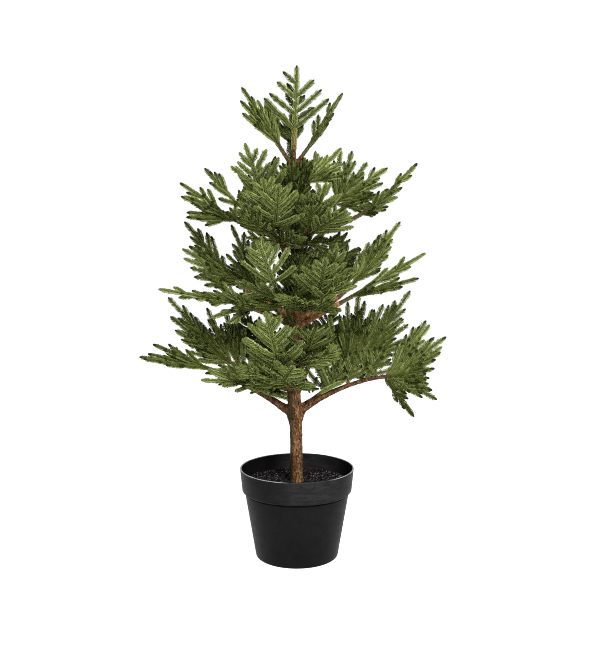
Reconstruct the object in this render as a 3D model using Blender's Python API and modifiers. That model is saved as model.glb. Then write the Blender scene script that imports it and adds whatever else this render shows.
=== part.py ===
"""An artificial spruce, 0.8 m tall, in a black nursery pot.

Metres, +Z up. The origin is the middle of the pot's flat underside, and the front of the tree faces -Y.
The stem is one whole tapering solid. Every bough is a tapering limb that ends where it enters its own mass
of foliage, and every mass is one closed, uneven solid whose lobes reach the tips of the bough's sprays.
"""

from collections import namedtuple
from math import ceil, cos, radians, sin

import bmesh
import bpy
from mathutils import Matrix, Vector

# Driving sizes of the pot
RIM_RADIUS = 0.0950
RIM_HEIGHT = 0.1493
BAND_FOOT_RADIUS = 0.0913
BAND_FOOT_HEIGHT = 0.1115
BODY_TOP_RADIUS = 0.0867
BASE_RADIUS = 0.0692
WALL = 0.0024
FLOOR = 0.0030
EDGE_ROUND = 0.0012
POT_STEPS = 32

# Driving sizes of the filling and of the stem
FILL_HEIGHT = 0.1250
FILL_DISH = 0.0020
STEM_FOOT_RADIUS = 0.0118
STEM_TIP_HEIGHT = 0.7990

# A limb's thickness at the stem: this radius and so much more for each metre of its length. It tapers by this
# share of itself towards the tip, and swells into a collar over its first few centimetres.
LIMB_RADIUS = 0.0018
LIMB_RADIUS_PER_METRE = 0.016
LIMB_TAPER = 0.62
COLLAR_SHARE = 0.16
COLLAR_SWELL = 0.45
COLLAR_LIMIT = 0.85

# Shares of a limb: how far before its entry the mass begins and the earliest place for that, the place where
# a side spray along the limb itself would leave, and the step that its heading is measured over
FOLIAGE_LEAD = 0.04
FOLIAGE_EARLIEST = 0.12
LAST_LEAVING = 0.99
HEADING_STEP = 0.03

# A limb whose sideways direction leans less than this to the front or back counts as pointing that way
FRONT_LEAN = 0.25

# The lobes of a mass: how far needles stand off, half of a lobe's thickness, how a lobe widens with its spray,
# how far it reaches back over the limb and past the spray's tip. A mass's core starts that share before its
# first point and ends the join share into the end spray.
NEEDLE_REACH = 0.0080
LOBE_HALF_THICK = 0.0085
LOBE_SPREAD = 0.21
LOBE_BACK = 0.14
LOBE_PAST_TIP = 0.0045
CORE_BACK = 0.06
CORE_JOIN = 0.12
CORE_END = 0.95
LEADER_HALF_THICK = 0.0095

# Clearances and mesh sizes
GAP = 0.0003
CUT_GAP = 0.0005
SOCKET = 0.007
LIMB_STEP = 0.030
VOXEL = 0.0050
FACES_PER_MASS = 64
FACES_PER_LOBE = 16

# The stem's centre line and radius: height, sideways lean, half thickness
STEM = (
    (FILL_HEIGHT + GAP, -0.0005, STEM_FOOT_RADIUS),
    (0.140, -0.0006, 0.0111),
    (0.190, -0.0011, 0.0107),
    (0.228, -0.0020, 0.0109),
    (0.246, -0.0028, 0.0121),
    (0.264, -0.0048, 0.0114),
    (0.290, -0.0066, 0.0106),
    (0.330, -0.0040, 0.0092),
    (0.400, -0.0010, 0.0088),
    (0.460, -0.0015, 0.0076),
    (0.530, -0.0030, 0.0068),
    (0.600, -0.0045, 0.0052),
    (0.650, -0.0050, 0.0040),
    (0.705, -0.0035, 0.0026),
    (0.760, -0.0005, 0.0018),
    (STEM_TIP_HEIGHT, 0.0000, 0.0010),
)

# One row for each bough. root is its height on the stem and tip the end of its last shoot, in metres.
# lift raises the middle of the limb, as a share of its length. roll tilts the near edge of the fan down,
# in degrees. entry is the share of the limb where the foliage starts, last the share of it that is the
# end spray, and width how broad the sprays are. fan lists the side sprays: the angle that each turns from
# the limb, in degrees towards the near side, and its length.
Bough = namedtuple("Bough", "name root tip lift roll entry last width fan")
EVEN_FAN = ((-45, 0.090), (-22, 0.100), (22, 0.100), (45, 0.090))
BOUGHS = (
    Bough("top_left", 0.642, (-0.0855, 0.000, 0.7695), -0.03, 50, 0.10, 0.58, 0.22,
          ((-12, 0.070), (-22, 0.074), (-32, 0.067), (12, 0.080), (24, 0.072))),
    Bough("top_right", 0.645, (0.0705, -0.005, 0.7595), -0.10, 20, 0.08, 0.66, 0.20,
          ((-8, 0.068), (12, 0.050))),
    Bough("top_back", 0.650, (-0.012, 0.085, 0.746), 0.00, 0, 0.32, 0.62, 0.60,
          ((-22, 0.060), (14, 0.050))),
    Bough("upper_left_long", 0.522, (-0.184, -0.010, 0.6175), -0.13, 50, 0.34, 0.36, 0.46,
          ((-40, 0.030), (7, 0.074), (12, 0.080), (24, 0.074), (33, 0.080))),
    Bough("upper_back_left", 0.545, (-0.162, 0.120, 0.6515), -0.20, 45, 0.34, 0.36, 0.34,
          ((-26, 0.036), (-36, 0.050), (-50, 0.135), (-60, 0.140), (14, 0.046))),
    Bough("upper_front_left", 0.520, (-0.0685, -0.120, 0.6655), -0.55, 0, 0.25, 0.46, 0.80,
          ((-30, 0.076), (14, 0.116), (24, 0.114), (60, 0.055))),
    Bough("upper_front_low", 0.505, (-0.080, -0.120, 0.562), 0.06, 0, 0.20, 0.58, 0.76,
          ((-110, 0.075), (-70, 0.060), (60, 0.060))),
    Bough("upper_front", 0.515, (0.042, -0.120, 0.608), -0.34, 0, 0.25, 0.46, 0.90,
          ((-16, 0.095), (14, 0.080), (-60, 0.060))),
    Bough("upper_back_right", 0.596, (0.074, 0.060, 0.681), 0.00, 30, 0.20, 0.60, 0.42,
          ((-24, 0.064), (24, 0.060), (44, 0.055))),
    Bough("upper_right", 0.545, (0.152, 0.090, 0.651), -0.02, 50, 0.34, 0.46, 0.36,
          ((-43, 0.118), (-34, 0.112), (-19, 0.094), (5, 0.082), (14, 0.080), (30, 0.080), (50, 0.070))),
    Bough("upper_right_long", 0.540, (0.1905, -0.020, 0.6445), -0.27, 40, 0.34, 0.27, 0.28,
          ((-24, 0.046), (8, 0.044), (20, 0.044), (30, 0.036), (40, 0.030))),
    Bough("middle_left", 0.400, (-0.188, 0.040, 0.558), -0.20, 60, 0.40, 0.36, 0.40,
          ((-8, 0.062), (8, 0.077), (15, 0.088), (23, 0.083), (31, 0.074), (39, 0.069), (48, 0.057))),
    Bough("middle_left_long", 0.385, (-0.221, -0.020, 0.4438), 0.12, 30, 0.25, 0.46, 0.26,
          ((-14, 0.040), (10, 0.078), (22, 0.040), (50, 0.072), (64, 0.066), (-24, 0.040), (-40, 0.075),
           (-50, 0.036), (-60, 0.042))),
    Bough("middle_back_left", 0.410, (-0.118, 0.150, 0.553), -0.36, 20, 0.34, 0.40, 0.40,
          ((-4, 0.070), (5, 0.088), (12, 0.094), (20, 0.090), (30, 0.082))),
    Bough("middle_front_left", 0.415, (-0.055, -0.145, 0.524), -0.28, 0, 0.25, 0.45, 0.90,
          ((-78, 0.090), (-50, 0.080), (62, 0.075))),
    Bough("middle_front", 0.408, (0.062, -0.145, 0.512), -0.30, 0, 0.25, 0.44, 0.90,
          ((-16, 0.105), (12, 0.112), (50, 0.090), (-70, 0.050))),
    Bough("middle_right", 0.400, (0.1705, 0.050, 0.560), -0.28, 60, 0.30, 0.34, 0.32,
          ((-24, 0.078), (-13, 0.088), (-4, 0.088), (5, 0.070), (10, 0.062), (20, 0.048))),
    Bough("middle_right_long", 0.385, (0.203, -0.030, 0.5035), -0.02, 40, 0.25, 0.46, 0.22,
          ((21.5, 0.111), (25, 0.085), (-10, 0.045))),
    Bough("middle_back_right", 0.410, (0.080, 0.160, 0.540), 0.00, 0, 0.34, 0.46, 0.80, EVEN_FAN),
    Bough("low_left_long", 0.236, (-0.259, 0.000, 0.337), 0.168, 45, 0.34, 0.40, 0.26,
          ((-7, 0.095), (5, 0.096), (12, 0.107))),
    Bough("low_left_rising", 0.290, (-0.2205, 0.060, 0.430), -0.286, 60, 0.30, 0.40, 0.24,
          ((3, 0.110), (10, 0.094), (14, 0.082), (23, 0.068), (30, 0.058), (46, 0.052), (62, 0.048),
           (-6, 0.086), (-13, 0.082), (-19, 0.082), (-31, 0.106), (-30, 0.074), (-46, 0.106),
           (-52, 0.094), (-60, 0.076), (-76, 0.066))),
    Bough("low_left_front", 0.280, (-0.147, -0.090, 0.310), 0.05, 20, 0.14, 0.62, 0.64,
          ((-50, 0.055), (-28, 0.096), (34, 0.050), (56, 0.040), (70, 0.040))),
    Bough("low_front", 0.285, (-0.0425, -0.155, 0.4215), -0.36, 0, 0.22, 0.50, 0.90,
          ((-58, 0.070), (-46, 0.085), (-32, 0.100), (24, 0.085))),
    Bough("low_front_right", 0.305, (0.031, -0.150, 0.400), -0.06, 0, 0.22, 0.64, 0.90,
          ((24, 0.090), (60, 0.050), (-30, 0.085))),
    Bough("low_right_long", 0.238, (0.215, -0.020, 0.302), 0.23, 60, 0.62, 0.21, 0.26,
          ((-54, 0.104), (-50, 0.117), (-47.5, 0.114), (-39, 0.100), (-34, 0.113), (-28, 0.096),
           (-24, 0.087), (-19, 0.070), (-11, 0.061), (18, 0.056), (25, 0.065), (31, 0.081), (40, 0.062),
           (50, 0.042), (62, 0.084), (-110, 0.040), (-125, 0.030))),
    Bough("low_right_rising", 0.243, (0.1975, 0.070, 0.4375), -0.155, 60, 0.30, 0.40, 0.33,
          ((-8, 0.111), (-19, 0.112), (-25, 0.100), (-33, 0.116), (-38, 0.132), (-45, 0.122),
           (-52, 0.105), (-58, 0.110), (-66, 0.070), (5, 0.094), (11, 0.099), (21, 0.090), (26, 0.086),
           (38, 0.070), (52, 0.050))),
    Bough("low_back_left", 0.270, (-0.106, 0.170, 0.396), 0.02, 0, 0.34, 0.46, 1.00, EVEN_FAN),
    Bough("low_back_right", 0.265, (0.070, 0.190, 0.396), 0.02, 0, 0.34, 0.46, 1.00, EVEN_FAN),
)

# The leader's shoots: height on the stem, side (-1 left, 1 right), lean to the back, length, and angle from
# upright in degrees
LEADER_SHOOTS = (
    (0.648, -1, 0.3, 0.032, 18),
    (0.663, -1, 0.5, 0.030, 20),
    (0.686, 1, 0.4, 0.030, 28),
    (0.686, -1, 0.4, 0.034, 40),
    (0.703, -1, 0.0, 0.067, 46),
    (0.705, 1, 0.0, 0.069, 51),
    (0.718, 1, 0.6, 0.046, 52),
    (0.727, -1, 0.0, 0.050, 53),
    (0.729, 1, 0.0, 0.054, 50),
    (0.735, -1, 0.6, 0.036, 30),
    (0.740, 1, 0.6, 0.026, 36),
    (0.751, -1, 0.0, 0.040, 48),
    (0.752, -1, 0.6, 0.034, 28),
    (0.754, 1, 0.0, 0.039, 46),
    (0.774, -1, 0.0, 0.026, 50),
)
LEADER_FOOT = 0.655
LEADER_TOP = 0.8050

UP = Vector((0, 0, 1))


# Scene, materials and mesh helpers


def clear_scene():
    for obj in list(bpy.data.objects):
        bpy.data.objects.remove(obj, do_unlink=True)


def new_collection(name):
    made = bpy.data.collections.new(name)
    bpy.context.scene.collection.children.link(made)
    return made


def material(name, colour, roughness, metallic=0.0):
    made = bpy.data.materials.new(name)
    made.use_nodes = True
    shader = made.node_tree.nodes["Principled BSDF"]
    shader.inputs["Base Color"].default_value = (*colour, 1)
    shader.inputs["Roughness"].default_value = roughness
    shader.inputs["Metallic"].default_value = metallic
    return made


def add_object(name, data, home, finish=None):
    obj = bpy.data.objects.new(name, data)
    home.objects.link(obj)
    if finish:
        obj.data.materials.append(finish)
    return obj


def evaluated_mesh(obj):
    """A plain mesh of the object with its modifiers applied."""
    bpy.context.view_layer.update()
    graph = bpy.context.evaluated_depsgraph_get()
    return bpy.data.meshes.new_from_object(obj.evaluated_get(graph))


def bake(obj):
    """Replace the object's mesh by its evaluated mesh, so that later steps can edit it."""
    mesh = evaluated_mesh(obj)
    obj.modifiers.clear()
    obj.data = mesh
    return obj


def hide(obj):
    obj.hide_render = True
    obj.display_type = "WIRE"
    return obj


def cut(obj, cutters):
    """Take the cutters from the object, one after the other."""
    for cutter in cutters:
        boolean = obj.modifiers.new("cut", "BOOLEAN")
        boolean.operation = "DIFFERENCE"
        boolean.solver = "EXACT"
        boolean.object = cutter
    return bake(obj)


def bodies_of(bm):
    """The faces of each separate body."""
    left = set(bm.faces)
    bodies = []
    while left:
        queue = [left.pop()]
        body = list(queue)
        while queue:
            for edge in queue.pop().edges:
                for face in edge.link_faces:
                    if face in left:
                        left.remove(face)
                        queue.append(face)
                        body.append(face)
        bodies.append(body)
    return bodies


def keep_largest_body(obj):
    """Drop the small pieces that a cut left apart."""
    bm = bmesh.new()
    bm.from_mesh(obj.data)
    bodies = sorted(bodies_of(bm), key=lambda body: -sum(face.calc_area() for face in body))
    for body in bodies[1:]:
        bmesh.ops.delete(bm, geom=body, context="FACES")
    bm.to_mesh(obj.data)
    bm.free()


def grown_copy(obj, home, by):
    """A cutter: the object's mesh, moved outwards along its normals."""
    mesh = obj.data.copy()
    normals = [vertex.normal.copy() for vertex in mesh.vertices]
    for vertex, normal in zip(mesh.vertices, normals):
        vertex.co += normal * by
    return hide(add_object(obj.name + "_cutter", mesh, home))


def box_of(obj):
    points = [vertex.co for vertex in obj.data.vertices]
    low = Vector([min(point[axis] for point in points) for axis in range(3)])
    high = Vector([max(point[axis] for point in points) for axis in range(3)])
    return low, high


def boxes_meet(first, second):
    return all(first[0][axis] <= second[1][axis] and second[0][axis] <= first[1][axis] for axis in range(3))


def cut_by_neighbours(obj, solids):
    """Take the solids that come near the object from it, and drop what they leave apart."""
    box = box_of(obj)
    cut(obj, [solid for solid in solids if boxes_meet(box, box_of(solid))])
    keep_largest_body(obj)


def tube(name, points, radii, home, sides_level, finish=None):
    """A tapering limb: a bevelled curve with filled caps, made into a welded mesh."""
    curve = bpy.data.curves.new(name, "CURVE")
    curve.dimensions = "3D"
    curve.bevel_depth = 1.0
    curve.bevel_resolution = sides_level
    curve.use_fill_caps = True
    spline = curve.splines.new("POLY")
    spline.points.add(len(points) - 1)
    for slot, point, radius in zip(spline.points, points, radii):
        slot.co = (*point, 1)
        slot.radius = radius
    guide = add_object(name + "_guide", curve, home)
    mesh = evaluated_mesh(guide)
    mesh.name = name
    bpy.data.objects.remove(guide, do_unlink=True)
    bm = bmesh.new()
    bm.from_mesh(mesh)
    bmesh.ops.remove_doubles(bm, verts=bm.verts, dist=1e-6)
    bmesh.ops.recalc_face_normals(bm, faces=bm.faces)
    bm.to_mesh(mesh)
    bm.free()
    return add_object(name, mesh, home, finish)


# The pot and its filling


def turned(name, profile, home, finish, steps):
    """A turned solid from a profile of (radius, height) that ends on the axis at both ends."""
    mesh = bpy.data.meshes.new(name)
    points = [(radius, 0, height) for radius, height in profile]
    mesh.from_pydata(points, [(k, k + 1) for k in range(len(points) - 1)], [])
    obj = add_object(name, mesh, home, finish)
    screw = obj.modifiers.new("turn", "SCREW")
    screw.axis = "Z"
    screw.steps = steps
    screw.render_steps = steps
    screw.use_merge_vertices = True
    screw.merge_threshold = 1e-5
    screw.use_smooth_shade = True
    return obj


def inner_radius(height):
    """Inside of the pot's wall at a height."""
    if height < BAND_FOOT_HEIGHT:
        share = height / BAND_FOOT_HEIGHT
        return BASE_RADIUS + (BODY_TOP_RADIUS - BASE_RADIUS) * share - WALL
    share = (height - BAND_FOOT_HEIGHT) / (RIM_HEIGHT - BAND_FOOT_HEIGHT)
    return BAND_FOOT_RADIUS + (RIM_RADIUS - BAND_FOOT_RADIUS) * share - WALL


def make_pot(home, finish):
    ledge = BAND_FOOT_HEIGHT + WALL
    profile = (
        (0.0, FLOOR),
        (inner_radius(FLOOR), FLOOR),
        (inner_radius(BAND_FOOT_HEIGHT - EDGE_ROUND), BAND_FOOT_HEIGHT - EDGE_ROUND),
        (inner_radius(ledge), ledge),
        (RIM_RADIUS - WALL, RIM_HEIGHT - EDGE_ROUND),
        (RIM_RADIUS - WALL / 2, RIM_HEIGHT),
        (RIM_RADIUS, RIM_HEIGHT - EDGE_ROUND),
        (BAND_FOOT_RADIUS, BAND_FOOT_HEIGHT),
        (BODY_TOP_RADIUS, BAND_FOOT_HEIGHT - EDGE_ROUND),
        (BASE_RADIUS, EDGE_ROUND),
        (BASE_RADIUS - EDGE_ROUND, 0.0),
        (0.0, 0.0),
    )
    return turned("pot", profile, home, finish, POT_STEPS)


def make_fill(home, finish):
    clear = 2 * GAP
    flat = 2 * STEM_FOOT_RADIUS
    edge = FILL_HEIGHT - FILL_DISH
    shoulder = BAND_FOOT_HEIGHT - EDGE_ROUND
    profile = (
        (0.0, FILL_HEIGHT),
        (flat, FILL_HEIGHT),
        (inner_radius(edge) - clear, edge),
        (inner_radius(shoulder) - clear, shoulder),
        (inner_radius(FLOOR) - clear, FLOOR + GAP),
        (0.0, FLOOR + GAP),
    )
    return turned("growing_medium", profile, home, finish, POT_STEPS)


# The stem


def stem_value(height, column):
    """The stem's lean or half thickness at a height, read between the rows of STEM."""
    for low, high in zip(STEM, STEM[1:]):
        if height <= high[0]:
            share = (height - low[0]) / (high[0] - low[0])
            return low[column] + (high[column] - low[column]) * share
    return STEM[-1][column]


def stem_point(height):
    return Vector((stem_value(height, 1), 0.0, height))


def make_stem(name, home, more=0.0, finish=None):
    points = [Vector((lean, 0.0, height)) for height, lean, _ in STEM]
    radii = [radius + more for _, _, radius in STEM]
    if more:
        points[0].z -= 0.01
        points[-1].z += more
    return tube(name, points, radii, home, 3, finish)


# The boughs


def limb_point(bough, share):
    """A point of the limb's centre line, from the stem's axis to the tip, on a parabola."""
    foot = stem_point(bough.root)
    tip = Vector(bough.tip)
    middle = (foot + tip) / 2 + UP * bough.lift * (tip - foot).length
    return foot * (1 - share) ** 2 + middle * (2 * share * (1 - share)) + tip * share**2


def limb_heading(bough, share):
    ahead = limb_point(bough, min(share + HEADING_STEP, 1.0))
    behind = limb_point(bough, max(share - HEADING_STEP, 0.0))
    return (ahead - behind).normalized()


def limb_length(bough):
    return (Vector(bough.tip) - stem_point(bough.root)).length


def limb_radius(bough, share):
    plain = (LIMB_RADIUS + LIMB_RADIUS_PER_METRE * limb_length(bough)) * (1 - LIMB_TAPER * share)
    collar = plain * (1 + COLLAR_SWELL * max(0.0, 1 - share / COLLAR_SHARE))
    return max(plain, min(collar, COLLAR_LIMIT * stem_value(bough.root, 2)))


def foliage_start(bough):
    """The share of the limb where its mass of foliage begins."""
    return max(bough.entry - FOLIAGE_LEAD, FOLIAGE_EARLIEST)


def make_limb(bough, name, home, more=0.0, finish=None):
    """The limb from inside the stem to just inside its mass, before the stem is cut from it."""
    length = limb_length(bough)
    end = foliage_start(bough) + (SOCKET + more) / length
    steps = max(2, ceil(end * length / LIMB_STEP))
    shares = [end * k / steps for k in range(steps + 1)]
    points = [limb_point(bough, share) for share in shares]
    radii = [limb_radius(bough, share) + more for share in shares]
    return tube(name, points, radii, home, 1, finish)


def near_side(heading, roll):
    """Across the bough, to its side nearer the front (the right-hand side where it points to the front or
    the back), tilted down by the roll."""
    side = heading.cross(UP).normalized()
    lean = side.y if abs(side.y) > FRONT_LEAN else -side.x
    if lean > 0:
        side = -side
    rise = side.cross(heading).normalized()
    if rise.z < 0:
        rise = -rise
    return (side * cos(radians(roll)) - rise * sin(radians(roll))).normalized()


# The masses of foliage


def leaving_share(bough, turn):
    """Where a side spray leaves the limb: the more it turns, the nearer the stem."""
    share = 1 - min(abs(turn), 90) / 90
    return bough.entry + (LAST_LEAVING - bough.last - bough.entry) * share


def sprays_of(bough):
    """Each spray of the bough: where it starts, where it ends, and the side that it spreads to."""
    start = limb_point(bough, 1 - bough.last)
    tip = Vector(bough.tip)
    found = [(start, tip, near_side((tip - start).normalized(), bough.roll))]
    for turn, length in bough.fan:
        share = leaving_share(bough, turn)
        heading = limb_heading(bough, share)
        near = near_side(heading, bough.roll)
        way = heading * cos(radians(turn)) + near * sin(radians(turn))
        across = near * cos(radians(turn)) - heading * sin(radians(turn))
        start = limb_point(bough, share)
        found.append((start, start + way * length, across))
    return found


def add_lobe(bm, start, end, across, half_width, half_thick):
    """A flattened egg from start to end, one spray's share of a mass."""
    along = end - start
    x_axis = along.normalized()
    y_axis = (across - x_axis * across.dot(x_axis)).normalized()
    z_axis = x_axis.cross(y_axis)
    turn = Matrix((x_axis, y_axis, z_axis)).transposed().to_4x4()
    size = Matrix.Diagonal((along.length / 2, half_width, half_thick, 1))
    place = Matrix.Translation((start + end) / 2)
    bmesh.ops.create_icosphere(bm, subdivisions=2, radius=1.0, matrix=place @ turn @ size)


def merged_lobes(name, bm, lobes, home, finish):
    """Melt the lobes of one mass into a single closed surface, with more triangles the more lobes it has."""
    mesh = bpy.data.meshes.new(name)
    bm.to_mesh(mesh)
    bm.free()
    obj = add_object(name, mesh, home, finish)
    remesh = obj.modifiers.new("melt", "REMESH")
    remesh.mode = "VOXEL"
    remesh.voxel_size = VOXEL
    bake(obj)
    thin = obj.modifiers.new("thin", "DECIMATE")
    thin.ratio = (FACES_PER_MASS + FACES_PER_LOBE * lobes) / (2 * len(obj.data.polygons))
    thin.use_collapse_triangulate = True
    return bake(obj)


def make_mass(bough, home, finish):
    bm = bmesh.new()
    first = limb_point(bough, foliage_start(bough))
    join = limb_point(bough, min(1 - bough.last + CORE_JOIN, CORE_END))
    core = limb_radius(bough, foliage_start(bough)) + NEEDLE_REACH
    near = near_side(limb_heading(bough, 0.5), bough.roll)
    add_lobe(bm, first - (join - first) * CORE_BACK, join, near, core, core)
    sprays = sprays_of(bough)
    for start, end, across in sprays:
        reach = end - start
        half_width = NEEDLE_REACH + LOBE_SPREAD * reach.length * bough.width
        past = reach.normalized() * LOBE_PAST_TIP
        add_lobe(bm, start - reach * LOBE_BACK, end + past, across, half_width, LOBE_HALF_THICK)
    return merged_lobes("foliage_" + bough.name, bm, len(sprays), home, finish)


def make_leader_mass(home, finish):
    bm = bmesh.new()
    top = Vector((0.0, 0.0, LEADER_TOP + LOBE_PAST_TIP))
    add_lobe(bm, stem_point(LEADER_FOOT), top, Vector((1, 0, 0)), LEADER_HALF_THICK, LEADER_HALF_THICK)
    for height, side, back, length, angle in LEADER_SHOOTS:
        way = Vector((side * sin(radians(angle)), back, cos(radians(angle)))).normalized()
        across = Vector((cos(radians(angle)), 0.0, -side * sin(radians(angle))))
        start = stem_point(height)
        end = start + way * (length + LOBE_PAST_TIP)
        add_lobe(bm, start - way * NEEDLE_REACH, end, across, LOBE_HALF_THICK, LOBE_HALF_THICK)
    return merged_lobes("foliage_leader", bm, len(LEADER_SHOOTS), home, finish)


# The whole tree


def build():
    clear_scene()
    tree = new_collection("potted_spruce")
    helpers = new_collection("cutters")
    plastic = material("black plastic", (0.035, 0.036, 0.040), 0.45)
    crumb = material("black crumb", (0.020, 0.018, 0.017), 0.95)
    bark = material("brown bark wrap", (0.22, 0.12, 0.06), 0.85)
    green = material("spruce green", (0.09, 0.15, 0.045), 0.60)

    make_pot(tree, plastic)
    make_fill(tree, crumb)
    make_stem("trunk", tree, finish=bark)
    stem_cutter = hide(make_stem("trunk_cutter", helpers, more=CUT_GAP))

    solids = [stem_cutter]
    for bough in BOUGHS:
        limb = make_limb(bough, "bough_" + bough.name, tree, finish=bark)
        cut_by_neighbours(limb, solids)
        solids.append(hide(make_limb(bough, "bough_" + bough.name + "_cutter", helpers, more=CUT_GAP)))

    masses = [make_leader_mass(tree, green)]
    masses += [make_mass(bough, tree, green) for bough in BOUGHS]
    for mass in masses:
        cut_by_neighbours(mass, solids)
        solids.append(grown_copy(mass, helpers, CUT_GAP))

    bpy.context.view_layer.update()


build()
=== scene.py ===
"""The looks of an artificial spruce, 0.8 m tall, in a black nursery pot.

Metres, +Z up, front towards -Y. Every bough grows sprays, every spray grows shoots and every shoot carries
whorls of needles, all from the same rows of sizes as the solids that they stand for.
"""

from collections import namedtuple
from math import cos, pi, radians, sin
from random import Random

import bmesh
import bpy
from mathutils import Matrix, Vector, noise


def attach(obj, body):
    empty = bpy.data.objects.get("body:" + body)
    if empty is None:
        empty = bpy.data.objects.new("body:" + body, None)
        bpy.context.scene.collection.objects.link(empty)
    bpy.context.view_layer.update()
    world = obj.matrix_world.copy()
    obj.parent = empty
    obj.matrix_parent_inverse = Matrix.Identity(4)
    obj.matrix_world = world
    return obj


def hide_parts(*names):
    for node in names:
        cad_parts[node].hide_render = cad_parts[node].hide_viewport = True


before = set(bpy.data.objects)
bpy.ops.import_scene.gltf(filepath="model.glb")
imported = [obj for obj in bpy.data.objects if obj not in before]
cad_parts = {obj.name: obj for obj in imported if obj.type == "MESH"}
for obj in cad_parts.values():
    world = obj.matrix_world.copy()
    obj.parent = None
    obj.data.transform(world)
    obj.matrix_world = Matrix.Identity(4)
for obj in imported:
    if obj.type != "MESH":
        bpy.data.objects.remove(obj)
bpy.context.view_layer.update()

# Camera, in pixels of the photograph's frame
PHOTO_HEIGHT = 665
FOCAL_LENGTH = 793
SENSOR_MM = 36.0
CAMERA_AT = (0.0084, -1.300, 0.502)
CAMERA_DIP = 0.097

# Pot and filling
RIM_RADIUS = 0.0950
RIM_HEIGHT = 0.1493
BAND_FOOT_RADIUS = 0.0913
BAND_FOOT_HEIGHT = 0.1115
BODY_TOP_RADIUS = 0.0867
BODY_TOP_HEIGHT = 0.1068
BASE_RADIUS = 0.0692
WALL = 0.0024
FLOOR = 0.0030
FILL_HEIGHT = 0.1250
POT_STEPS = 160

# Needles and shoots. Each needle of a whorl has its turn round the shoot, its lean from it, its length and
# whether it is painted as a highlight: the needles along the edges of a shoot are, in a lighter, bluer green.
NEEDLE_LENGTH = 0.0092
NEEDLE_RADIUS = 0.00095
NEEDLE_BELLY = 0.62
WHORL_PITCH = 0.0026
NEEDLE_TRIANGLES = 6
WHORL = ((0, 31, 1.0, True), (180, 31, 1.0, True), (62, 25, 0.9, False), (118, 25, 0.9, False),
         (238, 28, 0.86, False), (302, 28, 0.86, False))
PIECE_TRIANGLES = 190000
BROAD = 0.75
PAIR_PITCH = 0.0150
PAIR_STRETCH = 0.76
PAIR_TURN = 43
FINGER_PITCH = 0.0120
SHOOT_RADIUS = 0.0009
SHOOT_CORE = 0.0021
TIP_ALLOWANCE = 0.0060
BUD_RADIUS = 0.0026
BUD_LENGTH = 0.0088

# The stem's centre line and radius: height, sideways lean, half thickness
STEM = (
    (0.1240, 0.0000, 0.0122),
    (0.1300, 0.0000, 0.0114),
    (0.140, -0.0006, 0.0111),
    (0.190, -0.0011, 0.0107),
    (0.228, -0.0020, 0.0109),
    (0.246, -0.0028, 0.0121),
    (0.264, -0.0048, 0.0114),
    (0.290, -0.0066, 0.0106),
    (0.330, -0.0040, 0.0092),
    (0.400, -0.0010, 0.0088),
    (0.460, -0.0015, 0.0076),
    (0.530, -0.0030, 0.0068),
    (0.600, -0.0045, 0.0052),
    (0.650, -0.0050, 0.0040),
    (0.705, -0.0035, 0.0026),
    (0.760, -0.0005, 0.0018),
    (0.7985, 0.0000, 0.0010),
)
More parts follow.
